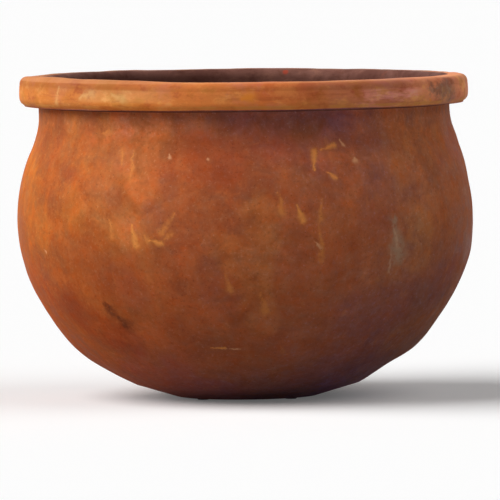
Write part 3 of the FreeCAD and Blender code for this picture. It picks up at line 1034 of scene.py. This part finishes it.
def inside_tone(finish, mottle):
    """Unpainted composite, brown with a violet cast, with rusty smears, flecks and some lime bloom,
    painted shade on the left and a painted shadow on the right.
    """
    smears = finish.noise(22.0, 5, roughness=0.6, shift=4.0)
    bloom = finish.noise(17.0, 6, roughness=0.65, shift=9.0)
    tone = finish.mix(finish.spread(mottle, 0.36, 0.66), COMPOSITE, DARK_COMPOSITE)
    tone = finish.stain(tone, RUSTY_SMEAR, 0.50, finish.spread(smears, 0.60, 0.76))
    # Painted shade on the left of the inside.
    tone = finish.stain(tone, PAINTED_SHADE_LEFT, 0.34, finish.spread(finish.x, 0.16, -0.10))
    # Painted shadow on the right of the inside.
    tone = finish.stain(tone, PAINTED_SHADOW_RIGHT, 0.62, finish.spread(finish.x, 0.20, 0.29))
    flecks = finish.noise(48.0, 4, (1.0, 1.0, 1.6), roughness=0.66, shift=21.0)
    tone = finish.wash(tone, 1.22, 1.26, 1.18, finish.spread(flecks, 0.52, 0.68))
    tone = finish.wash(tone, 0.84, 0.78, 0.72, finish.spread(flecks, 0.48, 0.32))
    return finish.stain(tone, LIME_BLOOM, 0.45, finish.spread(bloom, 0.58, 0.76))


def raw_inside():
    """The inside of the bowl: a tide mark high up, damp below it and wet near the floor."""
    finish = Finish("raw_inside", 0.82, 0.15)
    mottle = finish.noise(14.0, 7, roughness=0.64)
    fibres = finish.noise(150.0, 3, (1.0, 1.0, 0.35), roughness=0.7)
    tone = inside_tone(finish, mottle)
    tide = finish.sum(finish.z, finish.times(mottle, 0.09))
    tone = finish.stain(tone, TIDE_MARK, 0.30, finish.band(tide, 0.398, 0.408, 0.020))
    tone = finish.stain(tone, DAMP, 0.65, finish.spread(tide, 0.40, 0.26))
    tone = finish.stain(tone, WET, 0.75, finish.spread(tide, 0.16, 0.07))
    finish.colour(tone)
    finish.relief(finish.sum(mottle, finish.times(fibres, 0.4)), 0.002, 0.6)
    return finish.material


# Paints of the fittings
STEEL = paint(120, 122, 126)
BRIGHT_STEEL = paint(150, 151, 153)
STEEL_RUST = paint(126, 76, 48)
PLASTIC = paint(44, 44, 46)
LIGHT_PLASTIC = paint(54, 54, 56)
PLASTIC_DUST = paint(116, 92, 76)
RUBBER = paint(34, 33, 33)
LIGHT_RUBBER = paint(44, 43, 42)
RUBBER_DUST = paint(120, 104, 92)


def rolled_steel():
    finish = Finish("rolled_steel", 0.45, 0.5)
    finish.shader.inputs["Metallic"].default_value = 1.0
    lines = finish.noise(24.0, 4, (1.0, 1.0, 40.0))
    spots = finish.noise(60.0, 5, roughness=0.65)
    tone = finish.mix(finish.spread(lines, 0.35, 0.65), STEEL, BRIGHT_STEEL)
    tone = finish.stain(tone, STEEL_RUST, 0.70, finish.spread(spots, 0.58, 0.72))
    finish.colour(tone)
    finish.gloss(finish.spread(spots, 0.4, 0.7, 0.36, 0.7))
    finish.relief(lines, 0.0004, 0.3)
    return finish.material


def moulded_plastic():
    finish = Finish("moulded_plastic", 0.5, 0.45)
    grain = finish.noise(900.0, 2, roughness=0.6)
    dust = finish.noise(30.0, 6, roughness=0.65)
    tone = finish.mix(finish.spread(grain, 0.4, 0.6), PLASTIC, LIGHT_PLASTIC)
    tone = finish.stain(tone, PLASTIC_DUST, 0.35, finish.spread(dust, 0.48, 0.76))
    finish.colour(tone)
    finish.gloss(finish.spread(dust, 0.4, 0.75, 0.42, 0.7))
    finish.relief(grain, 0.0002, 0.4)
    return finish.material


def dusty_rubber():
    finish = Finish("dusty_rubber", 0.78, 0.3)
    grain = finish.noise(600.0, 3, roughness=0.65)
    dust = finish.noise(45.0, 6, roughness=0.65)
    tone = finish.mix(finish.spread(grain, 0.38, 0.62), RUBBER, LIGHT_RUBBER)
    tone = finish.stain(tone, RUBBER_DUST, 0.35, finish.spread(dust, 0.50, 0.76))
    finish.colour(tone)
    finish.relief(finish.sum(grain, dust), 0.0003, 0.5)
    return finish.material


# Stage

EYE = Vector((0.0, -12.0, 0.8667))
LOOK_AT = Vector((0.0070, 0.0, 0.2280))
LENS = 554.7
ROLL = math.radians(0.615)
FARTHEST_SIGHT = 400.0

# Lamps: name, degrees to the left of the camera, degrees up, level, degrees wide
LAMPS = (
    ("key_light", 80.0, 40.0, 1.05, 60.0),
    ("fill_light", -75.0, 48.0, 0.24, 60.0),
)
LAMP_DISTANCE = 3.0

FLOOR_SIZE = 160.0

# How bright the room and the floor look, and how much light they give
ROOM_LOOK = 1.0
ROOM_LIGHT = 0.10
FLOOR_LOOK = 0.92
FLOOR_GLOW = 0.10
FLOOR_LIGHT = 0.34


def lay_floor():
    """A wide pale floor. It looks near white, directly or mirrored, and throws little light back up."""
    bpy.ops.object.select_all(action="DESELECT")
    bpy.ops.mesh.primitive_plane_add(size=FLOOR_SIZE, location=(0, 0, 0))
    floor = bpy.context.object
    floor.name = "floor"
    finish = bpy.data.materials.new("pale_floor")
    finish.use_nodes = True
    finish.node_tree.nodes.clear()
    bench = Bench(finish.node_tree)
    looked_at = bench.looked_at()
    level = bench.spread(looked_at, 0.0, 1.0, FLOOR_LIGHT, FLOOR_LOOK)
    matt = bench.add("ShaderNodeBsdfDiffuse", level).outputs[0]
    glow = bench.add("ShaderNodeEmission", WHITE, bench.times(looked_at, FLOOR_GLOW)).outputs[0]
    both = bench.add("ShaderNodeAddShader", matt, glow).outputs[0]
    bench.add("ShaderNodeOutputMaterial", both)
    floor.data.materials.append(finish)


def hang_lamp(name, side, rise, level, spread):
    """A broad lamp as far off as the sun. At level 1 a white wall that faces it looks white."""
    turn = math.radians(side)
    up = math.radians(rise)
    towards = Vector((-math.sin(turn) * math.cos(up), -math.cos(turn) * math.cos(up), math.sin(up)))
    bpy.ops.object.light_add(type="SUN", location=towards * LAMP_DISTANCE)
    lamp = bpy.context.object
    lamp.name = name
    lamp.rotation_euler = towards.to_track_quat("Z", "Y").to_euler()
    lamp.data.energy = math.pi * level
    lamp.data.angle = math.radians(spread)


def light_room():
    """White walls all round that give little light of their own."""
    world = bpy.data.worlds.new("studio")
    bpy.context.scene.world = world
    world.use_nodes = True
    bench = Bench(world.node_tree)
    looked_at = bench.looked_at()
    background = world.node_tree.nodes["Background"]
    background.inputs["Color"].default_value = WHITE
    strength = bench.spread(looked_at, 0.0, 1.0, ROOM_LIGHT, ROOM_LOOK)
    bench.feed(background.inputs["Strength"], strength)


def place_camera():
    """Looks from where the photograph was taken."""
    bpy.ops.object.camera_add(location=EYE)
    camera = bpy.context.object
    aim = (LOOK_AT - EYE).to_track_quat("-Z", "Y").to_matrix()
    camera.rotation_euler = (aim @ Matrix.Rotation(-ROLL, 3, "Z")).to_euler()
    camera.data.lens = LENS
    camera.data.clip_end = FARTHEST_SIGHT
    bpy.context.scene.camera = camera
    bpy.context.scene.view_settings.view_transform = "Standard"


def dress(nodes, finish):
    """Gives a finish to CAD nodes that stay in sight."""
    for name in nodes:
        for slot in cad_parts[name].material_slots:
            slot.material = finish


def main():
    place_camera()
    light_room()
    for lamp in LAMPS:
        hang_lamp(*lamp)
    lay_floor()
    group = stroke_group()
    patina = rust_patina(group)
    make_bowl(patina, raw_inside())
    make_rim(rim_patina(group))
    dress(["rim_closing_ring"], patina)
    dress(["rim_hoop"], rolled_steel())
    dress(["drain_bush", "drain_nut", "drain_screen"], moulded_plastic())
    pads = ["foot_pad_1", "foot_pad_2", "foot_pad_3", "foot_pad_4"]
    dress(["drain_gasket", "drain_plug", *pads], dusty_rubber())


main()
